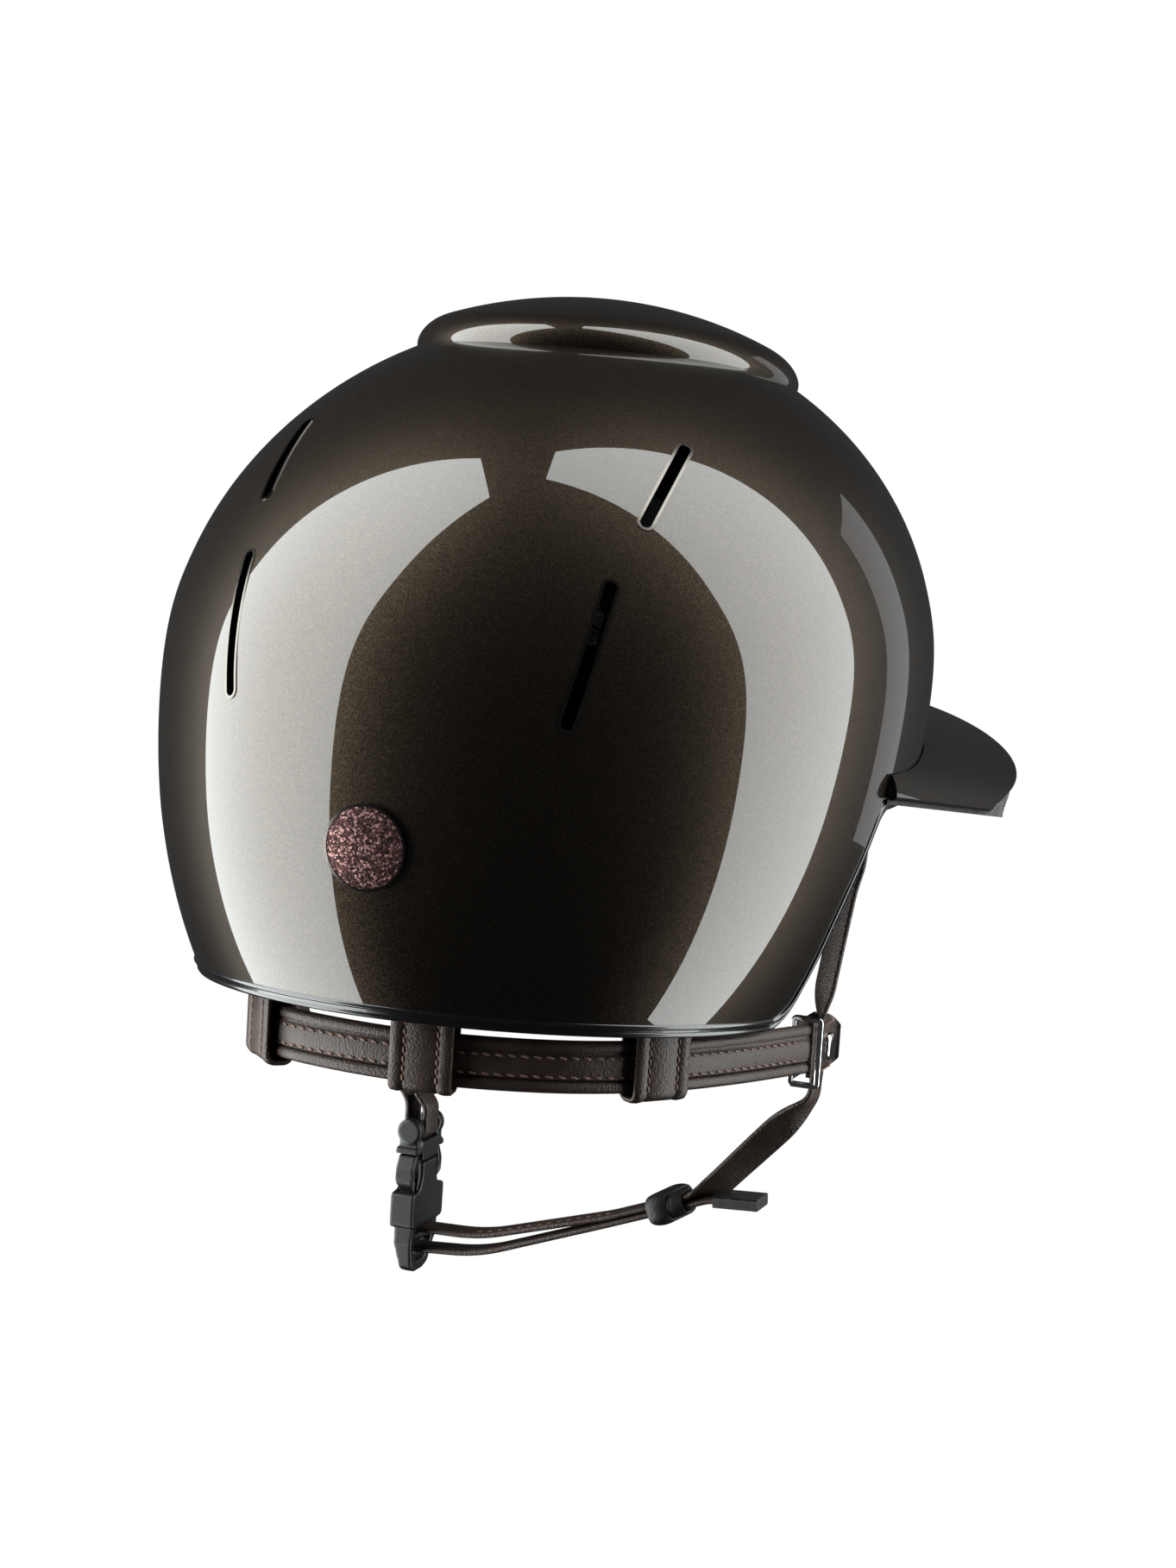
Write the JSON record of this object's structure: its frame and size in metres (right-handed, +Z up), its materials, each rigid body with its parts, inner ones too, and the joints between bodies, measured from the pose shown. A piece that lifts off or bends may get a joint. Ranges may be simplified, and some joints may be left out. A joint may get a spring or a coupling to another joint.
{
  "type": "equestrian riding helmet",
  "caption": "Riding helmet with a glossy domed shell, wide peak, slim vents, padded liner, and a stitched leather harness with a side-release chin buckle.",
  "frame": {"origin": "middle of the head cavity at the brow level, where the shell is widest", "axes": "+Z up to the crown, -Y forward to the peak, +X to the wearer's left"},
  "size_m": [0.2434, 0.3457, 0.3095],
  "materials": {
    "badge_glitter": "dark red-brown glitter",
    "black_foam": "black bead foam",
    "black_leather": "fine-grained black",
    "black_plastic": "satin black",
    "black_trim": "satin black",
    "bright_lip": "polished",
    "brown_leather": "fine-grained, satin, stitched",
    "chrome": "polished",
    "dark_chrome": "dark polished",
    "lining_fabric": "black woven",
    "pad_fabric": "quilted knit",
    "painted_shell": "clear-coated metallic dark brown with fine flake",
    "rivet_steel": "brushed"
  },
  "bodies": {
    "root": {"badge_disc": "badge_glitter", "badge_ring": "bright_lip", "buckle_male": "black_plastic", "buckle_strap": "brown_leather", "chin_strap": "brown_leather", "crown_pad": "pad_fabric", "crown_ridge": "painted_shell", "foam_liner": "black_foam", "front_grille": "black_plastic", "front_strap_left": "brown_leather", "front_strap_right": "brown_leather", "headband_pad": "pad_fabric", "intake_bezel": "bright_lip", "junction_ring_left": "chrome", "junction_ring_right": "chrome", "junction_tab_left": "brown_leather", "junction_tab_right": "brown_leather", "loop_boss_centre": "black_plastic", "loop_boss_left": "black_plastic", "loop_boss_right": "black_plastic", "loop_rivet_centre": "rivet_steel", "loop_rivet_left": "rivet_steel", "loop_rivet_right": "rivet_steel", "nape_band": "brown_leather", "nape_loop_centre": "brown_leather", "nape_loop_left": "brown_leather", "nape_loop_right": "brown_leather", "nape_pad": "pad_fabric", "outer_shell": "painted_shell", "peak": "painted_shell", "peak_lining": "lining_fabric", "rim_trim": "black_trim", "strap_boss_left": "black_plastic", "strap_boss_right": "black_plastic", "strap_end_clip": "dark_chrome", "strap_rivet_left": "rivet_steel", "strap_rivet_right": "rivet_steel", "stud_post_left": "chrome", "stud_post_right": "chrome", "vent_bezel_lower_left": "bright_lip", "vent_bezel_lower_right": "bright_lip", "vent_bezel_upper_left": "bright_lip", "vent_bezel_upper_right": "bright_lip"},
    "buckle_female": {"buckle_female": "black_plastic"},
    "prong_front": {"buckle_prong_front": "black_plastic"},
    "prong_rear": {"buckle_prong_rear": "black_plastic"},
    "keeper": {"keeper": "black_leather"},
    "flap_right": {"stud_flap_right": "brown_leather", "stud_cap_right": "chrome"},
    "flap_left": {"stud_flap_left": "brown_leather", "stud_cap_left": "chrome"}
  },
  "joints": [
    {"name": "buckle_release", "type": "slide", "parent": "root", "child": "buckle_female", "axis": [0, 0, -1], "range_m": [0, 0.018], "deforming": ["chin_strap"]},
    {"name": "prong_front_flex", "type": "hinge", "parent": "root", "child": "prong_front", "pos_m": [0.035, -0.0107, -0.1542], "axis": [1, 0, 0], "range_deg": [0, 14.2]},
    {"name": "prong_rear_flex", "type": "hinge", "parent": "root", "child": "prong_rear", "pos_m": [0.035, 0.0067, -0.1542], "axis": [-1, 0, 0], "range_deg": [0, 14.2]},
    {"name": "keeper_slide", "type": "slide", "parent": "root", "child": "keeper", "axis": [0.9315, 0, -0.3639], "range_m": [-0.004, 0.01]},
    {"name": "flap_right_open", "type": "hinge", "parent": "root", "child": "flap_right", "pos_m": [-0.0945, 0.011, -0.1045], "axis": [0, 0, -1], "range_deg": [0, 75]},
    {"name": "flap_left_open", "type": "hinge", "parent": "root", "child": "flap_left", "pos_m": [0.0815, 0.011, -0.1045], "axis": [0, 0, 1], "range_deg": [0, 75]}
  ],
  "couplings": [
    {"joint": "prong_front_flex", "follows": "buckle_release", "rad_per_m": 13.5},
    {"joint": "prong_rear_flex", "follows": "buckle_release", "rad_per_m": 13.5}
  ]
}
